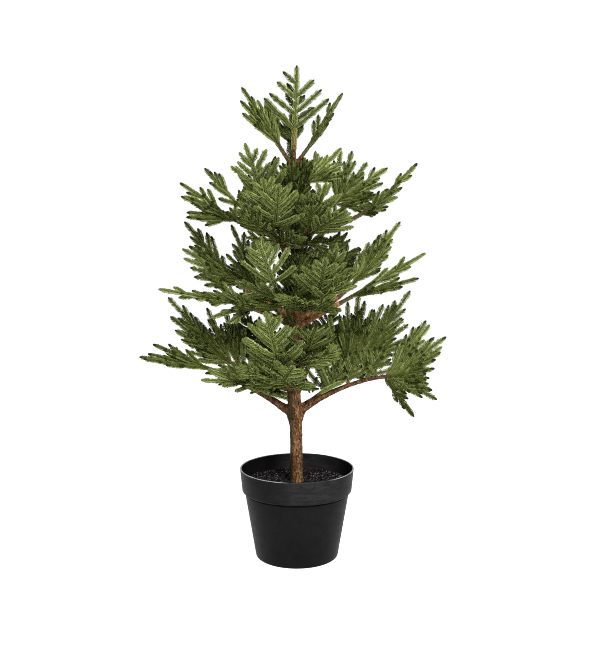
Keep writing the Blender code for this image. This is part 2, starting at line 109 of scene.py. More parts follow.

# One row for each bough: its height on the stem, the tip of its last shoot, the rise of its middle, the roll
# of its fan towards the near side in degrees, the shares of the limb where foliage starts and that the end
# spray takes, how broad its sprays are, how bright its green is from 0 to 1, and its side sprays as angle
# and length. The brightness is partly the needles' own tone and partly painted light and shade: boughs at
# the back and in shadow are dealt darker greens, lit ones at the front lighter.
Bough = namedtuple("Bough", "name root tip lift roll entry last width bright inner fan")
EVEN_FAN = ((-45, 0.090), (-22, 0.100), (22, 0.100), (45, 0.090))
BOUGHS = (
    Bough("top_left", 0.642, (-0.0855, 0.000, 0.7695), -0.03, 50, 0.10, 0.58, 0.22, 0.42, 0,
          ((-12, 0.070), (-22, 0.074), (-32, 0.067), (12, 0.080), (24, 0.072))),
    Bough("top_right", 0.645, (0.0705, -0.005, 0.7595), -0.10, 20, 0.08, 0.66, 0.20, 0.35, 0,
          ((-8, 0.068), (12, 0.050))),
    Bough("top_back", 0.650, (-0.012, 0.085, 0.746), 0.00, 0, 0.32, 0.62, 0.60, 0.1, 0,
          ((-22, 0.060), (14, 0.050))),
    Bough("upper_left_long", 0.522, (-0.184, -0.010, 0.6175), -0.13, 50, 0.34, 0.36, 0.46, 0.38, 1,
          ((-40, 0.030), (7, 0.074), (12, 0.080), (24, 0.074), (33, 0.080))),
    Bough("upper_back_left", 0.545, (-0.162, 0.120, 0.6515), -0.20, 45, 0.34, 0.36, 0.34, 0.2, 1,
          ((-26, 0.036), (-36, 0.050), (-50, 0.135), (-60, 0.140), (14, 0.046))),
    Bough("upper_front_left", 0.520, (-0.0685, -0.120, 0.6655), -0.55, 0, 0.25, 0.46, 0.80, 0.85, 0,
          ((-30, 0.076), (14, 0.116), (24, 0.114), (60, 0.055))),
    Bough("upper_front_low", 0.505, (-0.080, -0.120, 0.562), 0.06, 0, 0.20, 0.58, 0.76, 0.75, 0,
          ((-110, 0.075), (-70, 0.060), (60, 0.060))),
    Bough("upper_front", 0.515, (0.042, -0.120, 0.608), -0.34, 0, 0.25, 0.46, 0.90, 0.7, 1,
          ((-16, 0.095), (14, 0.080), (-60, 0.060))),
    Bough("upper_back_right", 0.596, (0.074, 0.060, 0.681), 0.00, 30, 0.20, 0.60, 0.42, 0.6, 2,
          ((-24, 0.064), (24, 0.060), (44, 0.055))),
    Bough("upper_right", 0.545, (0.152, 0.090, 0.651), -0.02, 50, 0.34, 0.46, 0.36, 0.3, 1,
          ((-43, 0.118), (-34, 0.112), (-19, 0.094), (5, 0.082), (14, 0.080), (30, 0.080), (50, 0.070))),
    Bough("upper_right_long", 0.540, (0.1905, -0.020, 0.6445), -0.27, 40, 0.34, 0.27, 0.28, 0.5, 1,
          ((-24, 0.046), (8, 0.044), (20, 0.044), (30, 0.036), (40, 0.030))),
    Bough("middle_left", 0.400, (-0.188, 0.040, 0.558), -0.20, 60, 0.40, 0.36, 0.40, 0.5, 1,
          ((-8, 0.062), (8, 0.077), (15, 0.088), (23, 0.083), (31, 0.074), (39, 0.069), (48, 0.057))),
    Bough("middle_left_long", 0.385, (-0.221, -0.020, 0.4438), 0.12, 30, 0.25, 0.46, 0.26, 0.6, 1,
          ((-14, 0.040), (10, 0.078), (22, 0.040), (50, 0.072), (64, 0.066), (-24, 0.040), (-40, 0.075), (-50, 0.036), (-60, 0.042))),
    Bough("middle_back_left", 0.410, (-0.118, 0.150, 0.553), -0.36, 20, 0.34, 0.40, 0.40, 0.25, 1,
          ((-4, 0.070), (5, 0.088), (12, 0.094), (20, 0.090), (30, 0.082))),
    Bough("middle_front_left", 0.415, (-0.055, -0.145, 0.524), -0.28, 0, 0.25, 0.45, 0.90, 0.75, 2,
          ((-78, 0.090), (-50, 0.080), (62, 0.075))),
    Bough("middle_front", 0.408, (0.062, -0.145, 0.512), -0.30, 0, 0.25, 0.44, 0.90, 0.9, 2,
          ((-16, 0.105), (12, 0.112), (50, 0.090), (-70, 0.050))),
    Bough("middle_right", 0.400, (0.1705, 0.050, 0.560), -0.28, 60, 0.30, 0.34, 0.32, 0.6, 1,
          ((-24, 0.078), (-13, 0.088), (-4, 0.088), (5, 0.070), (10, 0.062), (20, 0.048))),
    Bough("middle_right_long", 0.385, (0.203, -0.030, 0.5035), -0.02, 40, 0.25, 0.46, 0.22, 0.6, 1,
          ((21.5, 0.111), (25, 0.085), (-10, 0.045))),
    Bough("middle_back_right", 0.410, (0.080, 0.160, 0.540), 0.00, 0, 0.34, 0.46, 0.80, 0.25, 2, EVEN_FAN),
    Bough("low_left_long", 0.236, (-0.259, 0.000, 0.337), 0.168, 45, 0.34, 0.40, 0.26, 0.5, 1,
          ((-7, 0.095), (5, 0.096), (12, 0.107))),
    Bough("low_left_rising", 0.290, (-0.2205, 0.060, 0.430), -0.286, 60, 0.30, 0.40, 0.24, 0.4, 1,
          ((3, 0.110), (10, 0.094), (14, 0.082), (23, 0.068), (30, 0.058), (46, 0.052), (62, 0.048), (-6, 0.086), (-13, 0.082), (-19, 0.082), (-31, 0.106), (-30, 0.074), (-46, 0.106), (-52, 0.094), (-60, 0.076), (-76, 0.066))),
    Bough("low_left_front", 0.280, (-0.147, -0.090, 0.310), 0.05, 20, 0.14, 0.62, 0.64, 0.9, 1,
          ((-50, 0.055), (-28, 0.096), (34, 0.050), (56, 0.040), (70, 0.040))),
    Bough("low_front", 0.285, (-0.0425, -0.155, 0.4215), -0.36, 0, 0.22, 0.50, 0.90, 0.8, 2,
          ((-58, 0.070), (-46, 0.085), (-32, 0.100), (24, 0.085))),
    Bough("low_front_right", 0.305, (0.031, -0.150, 0.400), -0.06, 0, 0.22, 0.64, 0.90, 0.85, 1,
          ((24, 0.090), (60, 0.050), (-30, 0.085))),
    Bough("low_right_long", 0.238, (0.215, -0.020, 0.302), 0.23, 60, 0.62, 0.21, 0.26, 0.35, 3,
          ((-54, 0.104), (-50, 0.117), (-47.5, 0.114), (-39, 0.100), (-34, 0.113), (-28, 0.096), (-24, 0.087), (-19, 0.070), (-11, 0.061), (18, 0.056), (25, 0.065), (31, 0.081), (40, 0.062), (50, 0.042), (62, 0.084), (-110, 0.040), (-125, 0.030))),
    Bough("low_right_rising", 0.243, (0.1975, 0.070, 0.4375), -0.155, 60, 0.30, 0.40, 0.33, 0.3, 1,
          ((-8, 0.111), (-19, 0.112), (-25, 0.100), (-33, 0.116), (-38, 0.132), (-45, 0.122), (-52, 0.105), (-58, 0.110), (-66, 0.070), (5, 0.094), (11, 0.099), (21, 0.090), (26, 0.086), (38, 0.070), (52, 0.050))),
    Bough("low_back_left", 0.270, (-0.106, 0.170, 0.396), 0.02, 0, 0.34, 0.46, 1.00, 0.1, 2, EVEN_FAN),
    Bough("low_back_right", 0.265, (0.070, 0.190, 0.396), 0.02, 0, 0.34, 0.46, 1.00, 0.1, 2, EVEN_FAN),
)

# Leader shoots: height on the stem, side, lean towards the back, length, angle from upright in degrees
LEADER_SHOOTS = (
    (0.648, -1, 0.3, 0.032, 18),
    (0.663, -1, 0.5, 0.030, 20),
    (0.686, 1, 0.4, 0.030, 28),
    (0.686, -1, 0.4, 0.034, 40),
    (0.703, -1, 0.0, 0.067, 46),
    (0.705, 1, 0.0, 0.069, 51),
    (0.718, 1, 0.6, 0.046, 52),
    (0.727, -1, 0.0, 0.050, 53),
    (0.729, 1, 0.0, 0.054, 50),
    (0.735, -1, 0.6, 0.036, 30),
    (0.740, 1, 0.6, 0.026, 36),
    (0.751, -1, 0.0, 0.040, 48),
    (0.752, -1, 0.6, 0.034, 28),
    (0.754, 1, 0.0, 0.039, 46),
    (0.774, -1, 0.0, 0.026, 50),
)
# Stretches of the stem that small sprays clothe: lowest, highest and how many
STEM_CLOTHING = ((0.262, 0.322, 12), (0.405, 0.470, 12), (0.500, 0.606, 15))
# Below this height no stem spray points right, so that sky shows beside the fork
OPEN_BELOW = 0.330
# Small needled shoots at the fork: start, end, green and mass
FORK_SHOOTS = (
    ((-0.006, 0.000, 0.263), (-0.049, -0.010, 0.276), "lime", "low_left_front"),
    ((-0.006, 0.000, 0.270), (-0.042, -0.010, 0.283), "olive", "low_left_front"),
    ((-0.008, -0.010, 0.376), (-0.032, -0.014, 0.410), "olive", "middle_front_left"),
    ((-0.006, -0.012, 0.388), (-0.021, -0.016, 0.426), "mid", "middle_front_left"),
    ((0.034, -0.010, 0.274), (0.072, -0.020, 0.299), "lime", "low_right_rising"),
    ((0.040, 0.010, 0.279), (0.062, 0.005, 0.305), "olive", "low_right_rising"),
    ((0.026, 0.012, 0.274), (0.031, 0.005, 0.294), "deep", "low_right_rising"),
    ((0.021, 0.008, 0.274), (0.016, 0.000, 0.293), "deep", "low_right_rising"),
    ((0.012, 0.000, 0.282), (0.030, 0.000, 0.281), "deep", "low_right_rising"),
)
LEADER_FOOT = 0.662
# Share of a limb over which it swells towards the stem
COLLAR_SHARE = 0.16
LEADER_TOP = 0.803

# Needle greens, as plain base colours dealt out by spray, partly painted shade and light, from the shaded boughs to
# the bright ones
GREENS = {
    "deep": (0.046, 0.057, 0.007),
    "mid": (0.082, 0.101, 0.018),
    "olive": (0.110, 0.133, 0.030),
    "light": (0.136, 0.165, 0.043),
    "lime": (0.166, 0.199, 0.054),
}
GREEN_BUDDED = ("light", "lime")
DARK_BUD = ((0.007, 0.011, 0.002), (0.028, 0.040, 0.008))
GREEN_BUD = ((0.060, 0.078, 0.014), (0.150, 0.180, 0.050))
# Painted highlight: the edge needles of every shoot get a lighter, bluer copy of their green.
HIGHLIGHT_GAIN = 1.62
HIGHLIGHT_TINT = (0.018, 0.020, 0.034)
SHADE = (0.66, 0.67, 0.48)
WOOD_STOPS = ((0.3, (0.045, 0.026, 0.012)), (0.55, (0.095, 0.055, 0.022)), (0.8, (0.18, 0.12, 0.05)))
STEM_STOPS = ((0.3, (0.030, 0.038, 0.006)), (0.55, (0.058, 0.072, 0.012)), (0.8, (0.10, 0.12, 0.022)))

UP = Vector((0, 0, 1))


# Materials


def new_material(name, colour, roughness):
    """A material with its shader; uniform values sit on the shader's own sockets."""
    made = bpy.data.materials.new(name)
    made.use_nodes = True
    shader = made.node_tree.nodes["Principled BSDF"]
    shader.inputs["Base Color"].default_value = (*colour, 1)
    shader.inputs["Roughness"].default_value = roughness
    return made, made.node_tree, shader


def add_node(tree, kind, **settings):
    made = tree.nodes.new(kind)
    for name, value in settings.items():
        setattr(made, name, value)
    return made


def object_noise(tree, scale, detail=4.0, roughness=0.6, stretch=(1, 1, 1)):
    """Noise on Object coordinates, stretched along the axes."""
    place = add_node(tree, "ShaderNodeTexCoord")
    spread = add_node(tree, "ShaderNodeMapping")
    spread.inputs["Scale"].default_value = stretch
    grain = add_node(tree, "ShaderNodeTexNoise")
    grain.inputs["Scale"].default_value = scale
    grain.inputs["Detail"].default_value = detail
    grain.inputs["Roughness"].default_value = roughness
    tree.links.new(place.outputs["Object"], spread.inputs["Vector"])
    tree.links.new(spread.outputs["Vector"], grain.inputs["Vector"])
    return grain.outputs["Fac"]


def ramp(tree, value, stops):
    """Colours by value: stops are (position, colour)."""
    made = add_node(tree, "ShaderNodeValToRGB")
    points = made.color_ramp.elements
    while len(points) < len(stops):
        points.new(0.5)
    for point, (position, colour) in zip(points, stops):
        point.position = position
        point.color = (*colour, 1)
    tree.links.new(value, made.inputs["Fac"])
    return made.outputs["Color"]


def blended(tree, share, first, second):
    """The first colour, and the second one where share is 1."""
    made = add_node(tree, "ShaderNodeMix", data_type="RGBA")
    tree.links.new(share, made.inputs[0])
    for socket, value in ((made.inputs[6], first), (made.inputs[7], second)):
        if isinstance(value, bpy.types.NodeSocket):
            tree.links.new(value, socket)
        else:
            socket.default_value = value
    return made.outputs[2]


def bump(tree, shader, value, strength, distance):
    made = add_node(tree, "ShaderNodeBump")
    made.inputs["Strength"].default_value = strength
    made.inputs["Distance"].default_value = distance
    tree.links.new(value, made.inputs["Height"])
    tree.links.new(made.outputs["Normal"], shader.inputs["Normal"])


def scaled(colour, share):
    return tuple(channel * share for channel in colour)


def painted_highlight(colour):
    """The same green, lighter and a little bluer, for the needles painted as highlights."""
    return tuple(channel * HIGHLIGHT_GAIN + tint for channel, tint in zip(colour, HIGHLIGHT_TINT))


def shaded(colour):
    """The same green, darker and warmer."""
    return tuple(channel * share for channel, share in zip(colour, SHADE))


def needle_material(name, colour):
    made, tree, shader = new_material(name, colour, 0.6)
    grain = object_noise(tree, 200, detail=2.0)
    stops = ((0.30, shaded(colour)), (0.50, colour), (0.72, scaled(colour, 1.35)))
    tree.links.new(ramp(tree, grain, stops), shader.inputs["Base Color"])
    shader.inputs["Specular IOR Level"].default_value = 0.10
    return made


def twig_material(name, stops):
    made, tree, shader = new_material(name, stops[1][1], 0.6)
    tree.links.new(ramp(tree, object_noise(tree, 300), stops), shader.inputs["Base Color"])
    shader.inputs["Specular IOR Level"].default_value = 0.15
    return made


def bud_material(name, dark, light):
    made, tree, shader = new_material(name, dark, 0.8)
    tree.links.new(ramp(tree, object_noise(tree, 500), ((0.35, dark), (0.7, light))), shader.inputs["Base Color"])
    shader.inputs["Specular IOR Level"].default_value = 0.05
    return made


def bark_material():
    made, tree, shader = new_material("moulded_bark", (0.2, 0.11, 0.05), 0.72)
    coarse = object_noise(tree, 150, detail=6, roughness=0.7, stretch=(1, 1, 0.35))
    fine = object_noise(tree, 560, detail=4, roughness=0.7, stretch=(1, 1, 0.45))
    mixed = add_node(tree, "ShaderNodeMath", operation="MULTIPLY_ADD")
    mixed.inputs[1].default_value = 0.6
    tree.links.new(fine, mixed.inputs[0])
    halved = add_node(tree, "ShaderNodeMath", operation="MULTIPLY")
    halved.inputs[1].default_value = 0.45
    tree.links.new(coarse, halved.inputs[0])
    tree.links.new(halved.outputs[0], mixed.inputs[2])
    height = mixed.outputs[0]
    trunk_stops = ((0.42, (0.007, 0.003, 0.001)), (0.49, (0.062, 0.026, 0.010)), (0.56, (0.165, 0.078, 0.031)),
                   (0.67, (0.37, 0.24, 0.12)))
    limb_stops = ((0.42, (0.005, 0.003, 0.002)), (0.50, (0.040, 0.018, 0.008)), (0.59, (0.15, 0.070, 0.027)),
                  (0.72, (0.33, 0.19, 0.085)))
    share = add_node(tree, "ShaderNodeAttribute", attribute_name="limb")
    plain = blended(tree, share.outputs["Fac"], ramp(tree, height, trunk_stops), ramp(tree, height, limb_stops))
    place = add_node(tree, "ShaderNodeTexCoord")
    apart = add_node(tree, "ShaderNodeSeparateXYZ")
    tree.links.new(place.outputs["Object"], apart.inputs[0])
    # Painted shade: the stem's left side is darkened towards green-black, standing in for the side turned away from
    # the light.
    side = map_node(tree, apart.outputs["X"], -0.0095, -0.0030, 0.75, 0.0)
    stem_only = math_node(tree, "SUBTRACT", 1.0, share.outputs["Fac"])
    painted_shade_left = math_node(tree, "MULTIPLY", side, stem_only)
    bark_with_painted_shade = blended(tree, painted_shade_left, plain, (0.014, 0.014, 0.004, 1))
    # Painted light: between heights 0.375 and 0.47 the bark takes a lighter copy of its colours, a pool of light
    # painted where the boughs above shade the stem.
    painted_light_band = math_node(tree, "MULTIPLY", map_node(tree, apart.outputs["Z"], 0.375, 0.392, 0.0, 1.0),
                          map_node(tree, apart.outputs["Z"], 0.440, 0.470, 1.0, 0.0))
    painted_lit_bark = ramp(tree, height, ((0.42, (0.030, 0.014, 0.006)), (0.50, (0.20, 0.095, 0.038)),
                                   (0.60, (0.42, 0.22, 0.092)), (0.74, (0.60, 0.38, 0.19))))
    tree.links.new(blended(tree, painted_light_band, bark_with_painted_shade, painted_lit_bark), shader.inputs["Base Color"])
    shader.inputs["Specular IOR Level"].default_value = 0.12
    bump(tree, shader, height, 0.8, 0.0012)
    return made


def pot_material():
    """Black plastic with a painted highlight on the rim's top at the left and right, a soft painted sheen with
    scuffs in it on the band to the right of its middle, and a dark groove under the band."""
    made, tree, shader = new_material("moulded_black_plastic", (0.003, 0.003, 0.003), 0.5)
    place = add_node(tree, "ShaderNodeTexCoord")
    apart = add_node(tree, "ShaderNodeSeparateXYZ")
    tree.links.new(place.outputs["Object"], apart.inputs[0])
    across, height = apart.outputs["X"], apart.outputs["Z"]
    patchy = object_noise(tree, 60, detail=4, roughness=0.7)
    body = ramp(tree, patchy, ((0.3, (0.0018, 0.0018, 0.0020)), (0.7, (0.0046, 0.0041, 0.0041))))
    # Painted highlight: the rim's top is coloured pale grey at the left and right, standing in for light caught along
    # the lip.
    painted_rim_highlight_height = map_node(tree, height, RIM_HEIGHT - 0.0011, RIM_HEIGHT - 0.0003, 0.0, 1.0)
    left = map_node(tree, across, -0.032, -0.010, 1.0, 0.08)
    right = map_node(tree, across, 0.045, 0.070, 0.0, 1.0)
    lip = ramp(tree, patchy, ((0.35, (0.16, 0.155, 0.15)), (0.65, (0.42, 0.41, 0.40))))
    edge = math_node(tree, "MULTIPLY", painted_rim_highlight_height, math_node(tree, "MAXIMUM", left, right))
    # Painted sheen: a soft highlight is painted into the band's colour right of its middle, in streaky patches that
    # also read as scuffs.
    scuffs_and_sheen_patches = object_noise(tree, 46, detail=6, roughness=0.75, stretch=(1, 1, 4))
    painted_sheen = math_node(tree, "MULTIPLY", map_node(tree, across, -0.055, 0.010, 0.0, 1.0),
                      map_node(tree, across, 0.045, 0.092, 1.0, 0.0))
    painted_sheen = math_node(tree, "MULTIPLY", painted_sheen, map_node(tree, height, BAND_FOOT_HEIGHT - 0.001,
                                                        BAND_FOOT_HEIGHT + 0.004, 0.0, 1.0))
    painted_sheen = math_node(tree, "MULTIPLY", painted_sheen, map_node(tree, scuffs_and_sheen_patches, 0.36, 0.66, 0.25, 1.0))
    lit = blended(tree, painted_sheen, body, (0.018, 0.017, 0.017, 1))
    tree.links.new(blended(tree, edge, lit, lip), shader.inputs["Base Color"])
    groove = map_node(tree, height, BAND_FOOT_HEIGHT - 0.0012, BAND_FOOT_HEIGHT + 0.0004, 0.0, 1.0)
    below = map_node(tree, height, BODY_TOP_HEIGHT - 0.001, BODY_TOP_HEIGHT + 0.0015, 1.0, 0.0)
    gloss = math_node(tree, "MULTIPLY", math_node(tree, "MAXIMUM", groove, below),
                      map_node(tree, height, 0.0, 0.090, 0.28, 0.42))
    tree.links.new(gloss, shader.inputs["Specular IOR Level"])
    shader.inputs["IOR"].default_value = 1.2
    rough = add_node(tree, "ShaderNodeMapRange")
    rough.inputs["To Min"].default_value = 0.38
    rough.inputs["To Max"].default_value = 0.60
    tree.links.new(object_noise(tree, 30, detail=6, roughness=0.65, stretch=(1, 1, 4)), rough.inputs["Value"])
    tree.links.new(rough.outputs["Result"], shader.inputs["Roughness"])
    bump(tree, shader, object_noise(tree, 900, detail=2), 0.12, 0.0003)
    return made


def crumb_material():
    made, tree, shader = new_material("black_crumb", (0.008, 0.007, 0.007), 0.85)
    grain = object_noise(tree, 300, detail=1.0)
    stops = ((0.36, (0.0012, 0.0010, 0.0010)), (0.52, (0.0090, 0.0075, 0.0075)), (0.62, (0.030, 0.028, 0.028)),
             (0.72, (0.17, 0.16, 0.155)))
    shader.inputs["Specular IOR Level"].default_value = 0.10
    tree.links.new(ramp(tree, grain, stops), shader.inputs["Base Color"])
    bump(tree, shader, grain, 0.5, 0.001)
    return made


# Objects and Geometry Nodes


def add_object(name, data):
    obj = bpy.data.objects.new(name, data)
    bpy.context.scene.collection.objects.link(obj)
    return obj


def plain_mesh(obj):
    """The object's mesh with its modifiers applied and taken off."""
    bpy.context.view_layer.update()
    graph = bpy.context.evaluated_depsgraph_get()
    mesh = bpy.data.meshes.new_from_object(obj.evaluated_get(graph))
    obj.modifiers.clear()
    obj.data = mesh
    return obj


def new_tree(name, sockets):
    """A Geometry Nodes tree with named inputs."""
    tree = bpy.data.node_groups.new(name, "GeometryNodeTree")
    tree.interface.new_socket("Geometry", in_out="INPUT", socket_type="NodeSocketGeometry")
    for label, kind in sockets:
        tree.interface.new_socket(label, in_out="INPUT", socket_type=kind)
    tree.interface.new_socket("Geometry", in_out="OUTPUT", socket_type="NodeSocketGeometry")
    return tree, tree.nodes.new("NodeGroupInput"), tree.nodes.new("NodeGroupOutput")


def run_tree(obj, tree, values):
    """Run the tree on the object, with its inputs set by their identifiers, and keep the result as a mesh."""
    modifier = obj.modifiers.new(tree.name, "NODES")
    modifier.node_group = tree
    for item in tree.interface.items_tree:
        if item.item_type == "SOCKET" and item.in_out == "INPUT" and item.name in values:
            modifier[item.identifier] = values[item.name]
    return plain_mesh(obj)


def math_node(tree, operation, first, second):
    made = add_node(tree, "ShaderNodeMath", operation=operation)
    for socket, value in zip(made.inputs, (first, second)):
        if isinstance(value, bpy.types.NodeSocket):
            tree.links.new(value, socket)
        else:
            socket.default_value = value
    return made.outputs[0]


def map_node(tree, value, low, high, first, last):
    """The value's place between low and high, mapped from first to last and held at both ends."""
    made = add_node(tree, "ShaderNodeMapRange", interpolation_type="SMOOTHSTEP")
    tree.links.new(value, made.inputs["Value"])
    for name, number in (("From Min", low), ("From Max", high), ("To Min", first), ("To Max", last)):
        made.inputs[name].default_value = number
    return made.outputs["Result"]


def whorl_mesh():
    """One whorl of needles round +Z: each is a blunt spindle of six faces on a three-sided section, and a
    face attribute marks the needles painted as highlights."""
    bm = bmesh.new()
    marked = bm.faces.layers.bool.new("pale")
    for number, (turn, lean, share, pale) in enumerate(WHORL):
        around = radians(turn)
        out = Vector((cos(around), sin(around), 0))
        across = Vector((-sin(around), cos(around), 0))
        way = out * sin(radians(lean)) + UP * cos(radians(lean))
        back = across.cross(way)
        foot = out * SHOOT_RADIUS * 0.4 + UP * WHORL_PITCH * (number % 2) / 2
        belly = foot + way * NEEDLE_LENGTH * share * NEEDLE_BELLY
        ring = []
        for k in range(3):
            corner = radians(90 + 120 * k)
            ring.append(bm.verts.new(belly + (across * cos(corner) + back * sin(corner)) * NEEDLE_RADIUS))
        ends = bm.verts.new(foot), bm.verts.new(foot + way * NEEDLE_LENGTH * share)
        for end in ends:
            for k in range(3):
                face = bm.faces.new((end, ring[k], ring[(k + 1) % 3]))
                face[marked] = pale
    bmesh.ops.recalc_face_normals(bm, faces=bm.faces)
    mesh = bpy.data.meshes.new("whorl")
    bm.to_mesh(mesh)
    bm.free()
    return mesh


def bud_mesh():
    """A blunt bud of folded needles along +Z, a little of it below the end of its shoot."""
    bm = bmesh.new()
    bmesh.ops.create_uvsphere(bm, u_segments=5, v_segments=4, radius=1.0)
    for vertex in bm.verts:
        vertex.co.x *= BUD_RADIUS
        vertex.co.y *= BUD_RADIUS
        vertex.co.z = (vertex.co.z + 0.76) * BUD_LENGTH / 1.76
    mesh = bpy.data.meshes.new("bud")
    bm.to_mesh(mesh)
    bm.free()
    return mesh


def needle_tree():
    """Whorls along every line of the mesh, aligned with the line and with its point attribute face."""
    tree, start, end = new_tree("needles_along_shoots", (
        ("Pitch", "NodeSocketFloat"), ("Whorl", "NodeSocketObject"), ("Seed", "NodeSocketInt"),
        ("Material", "NodeSocketMaterial"), ("Pale material", "NodeSocketMaterial")))
    link = tree.links.new
    lines = tree.nodes.new("GeometryNodeMeshToCurve")
    even = add_node(tree, "GeometryNodeResampleCurve", mode="LENGTH")
    link(start.outputs["Geometry"], lines.inputs["Mesh"])
    link(lines.outputs["Curve"], even.inputs["Curve"])
    link(start.outputs["Pitch"], even.inputs["Length"])
    tangent = tree.nodes.new("GeometryNodeInputTangent")
    face = add_node(tree, "GeometryNodeInputNamedAttribute", data_type="FLOAT_VECTOR")
    face.inputs["Name"].default_value = "face"
    lengthwise = add_node(tree, "FunctionNodeAlignRotationToVector", axis="Z")
    link(tangent.outputs["Tangent"], lengthwise.inputs["Vector"])
    upright = add_node(tree, "FunctionNodeAlignRotationToVector", axis="Y", pivot_axis="Z")
    link(lengthwise.outputs["Rotation"], upright.inputs["Rotation"])
    link(face.outputs["Attribute"], upright.inputs["Vector"])
    twist = add_node(tree, "FunctionNodeRandomValue", data_type="FLOAT")
    twist.inputs[2].default_value = -0.2
    twist.inputs[3].default_value = 0.2
    link(start.outputs["Seed"], twist.inputs["Seed"])
    turn = tree.nodes.new("FunctionNodeAxisAngleToRotation")
    turn.inputs["Axis"].default_value = (0, 0, 1)
    link(twist.outputs[1], turn.inputs["Angle"])
    turned = add_node(tree, "FunctionNodeRotateRotation", rotation_space="LOCAL")
    link(upright.outputs["Rotation"], turned.inputs["Rotation"])
    link(turn.outputs["Rotation"], turned.inputs["Rotate By"])
    size = add_node(tree, "GeometryNodeInputNamedAttribute", data_type="FLOAT")
    size.inputs["Name"].default_value = "size"
    vary = add_node(tree, "FunctionNodeRandomValue", data_type="FLOAT")
    vary.inputs[2].default_value = 0.86
    vary.inputs[3].default_value = 1.12
    link(start.outputs["Seed"], vary.inputs["Seed"])
    whole = math_node(tree, "MULTIPLY", size.outputs["Attribute"], vary.outputs[1])
    along = tree.nodes.new("GeometryNodeSplineParameter")
    total = tree.nodes.new("GeometryNodeSplineLength")
    left = math_node(tree, "SUBTRACT", total.outputs["Length"], along.outputs["Length"])
    opened = map_node(tree, along.outputs["Length"], 0.0, 0.006, 0.75, 1.0)
    closed = map_node(tree, left, 0.0, 0.007, 0.66, 1.0)
    short = map_node(tree, left, 0.0, 0.006, 0.60, 1.0)
    wide = math_node(tree, "MULTIPLY", whole, math_node(tree, "MULTIPLY", opened, closed))
    long = math_node(tree, "MULTIPLY", whole, short)
    scale = tree.nodes.new("ShaderNodeCombineXYZ")
    link(wide, scale.inputs["X"])
    link(wide, scale.inputs["Y"])
    link(long, scale.inputs["Z"])
    model = tree.nodes.new("GeometryNodeObjectInfo")
    link(start.outputs["Whorl"], model.inputs["Object"])
    place = tree.nodes.new("GeometryNodeInstanceOnPoints")
    link(even.outputs["Curve"], place.inputs["Points"])
    link(model.outputs["Geometry"], place.inputs["Instance"])
    link(turned.outputs["Rotation"], place.inputs["Rotation"])
    link(scale.outputs["Vector"], place.inputs["Scale"])
    real = tree.nodes.new("GeometryNodeRealizeInstances")
    link(place.outputs["Instances"], real.inputs["Geometry"])
    finish = tree.nodes.new("GeometryNodeSetMaterial")
    link(real.outputs["Geometry"], finish.inputs["Geometry"])
    link(start.outputs["Material"], finish.inputs["Material"])
    # Painted highlight: the marked needles take the lighter highlight material.
    marked = add_node(tree, "GeometryNodeInputNamedAttribute", data_type="BOOLEAN")
    marked.inputs["Name"].default_value = "pale"
    painted_highlight = tree.nodes.new("GeometryNodeSetMaterial")
    link(finish.outputs["Geometry"], painted_highlight.inputs["Geometry"])
    link(marked.outputs["Attribute"], painted_highlight.inputs["Selection"])
    link(start.outputs["Pale material"], painted_highlight.inputs["Material"])
    link(painted_highlight.outputs["Geometry"], end.inputs["Geometry"])
    return tree


def bud_tree():
    """One bud at the far end of every line of the mesh, pointing along it."""
    tree, start, end = new_tree("buds_on_shoots", (
        ("Bud", "NodeSocketObject"), ("Seed", "NodeSocketInt"), ("Material", "NodeSocketMaterial")))
    link = tree.links.new
    lines = tree.nodes.new("GeometryNodeMeshToCurve")
    link(start.outputs["Geometry"], lines.inputs["Mesh"])
    last = tree.nodes.new("GeometryNodeCurveEndpointSelection")
    last.inputs["Start Size"].default_value = 0
    last.inputs["End Size"].default_value = 1
    tangent = tree.nodes.new("GeometryNodeInputTangent")
    lengthwise = add_node(tree, "FunctionNodeAlignRotationToVector", axis="Z")
    link(tangent.outputs["Tangent"], lengthwise.inputs["Vector"])
    vary = add_node(tree, "FunctionNodeRandomValue", data_type="FLOAT")
    vary.inputs[2].default_value = 0.8
    vary.inputs[3].default_value = 1.1
    link(start.outputs["Seed"], vary.inputs["Seed"])
    model = tree.nodes.new("GeometryNodeObjectInfo")
    link(start.outputs["Bud"], model.inputs["Object"])
    place = tree.nodes.new("GeometryNodeInstanceOnPoints")
    link(lines.outputs["Curve"], place.inputs["Points"])
    link(last.outputs["Selection"], place.inputs["Selection"])
    link(model.outputs["Geometry"], place.inputs["Instance"])
    link(lengthwise.outputs["Rotation"], place.inputs["Rotation"])
    link(vary.outputs[1], place.inputs["Scale"])
    real = tree.nodes.new("GeometryNodeRealizeInstances")
    link(place.outputs["Instances"], real.inputs["Geometry"])
    finish = tree.nodes.new("GeometryNodeSetMaterial")
    link(real.outputs["Geometry"], finish.inputs["Geometry"])
    link(start.outputs["Material"], finish.inputs["Material"])
    link(finish.outputs["Geometry"], end.inputs["Geometry"])
    return tree


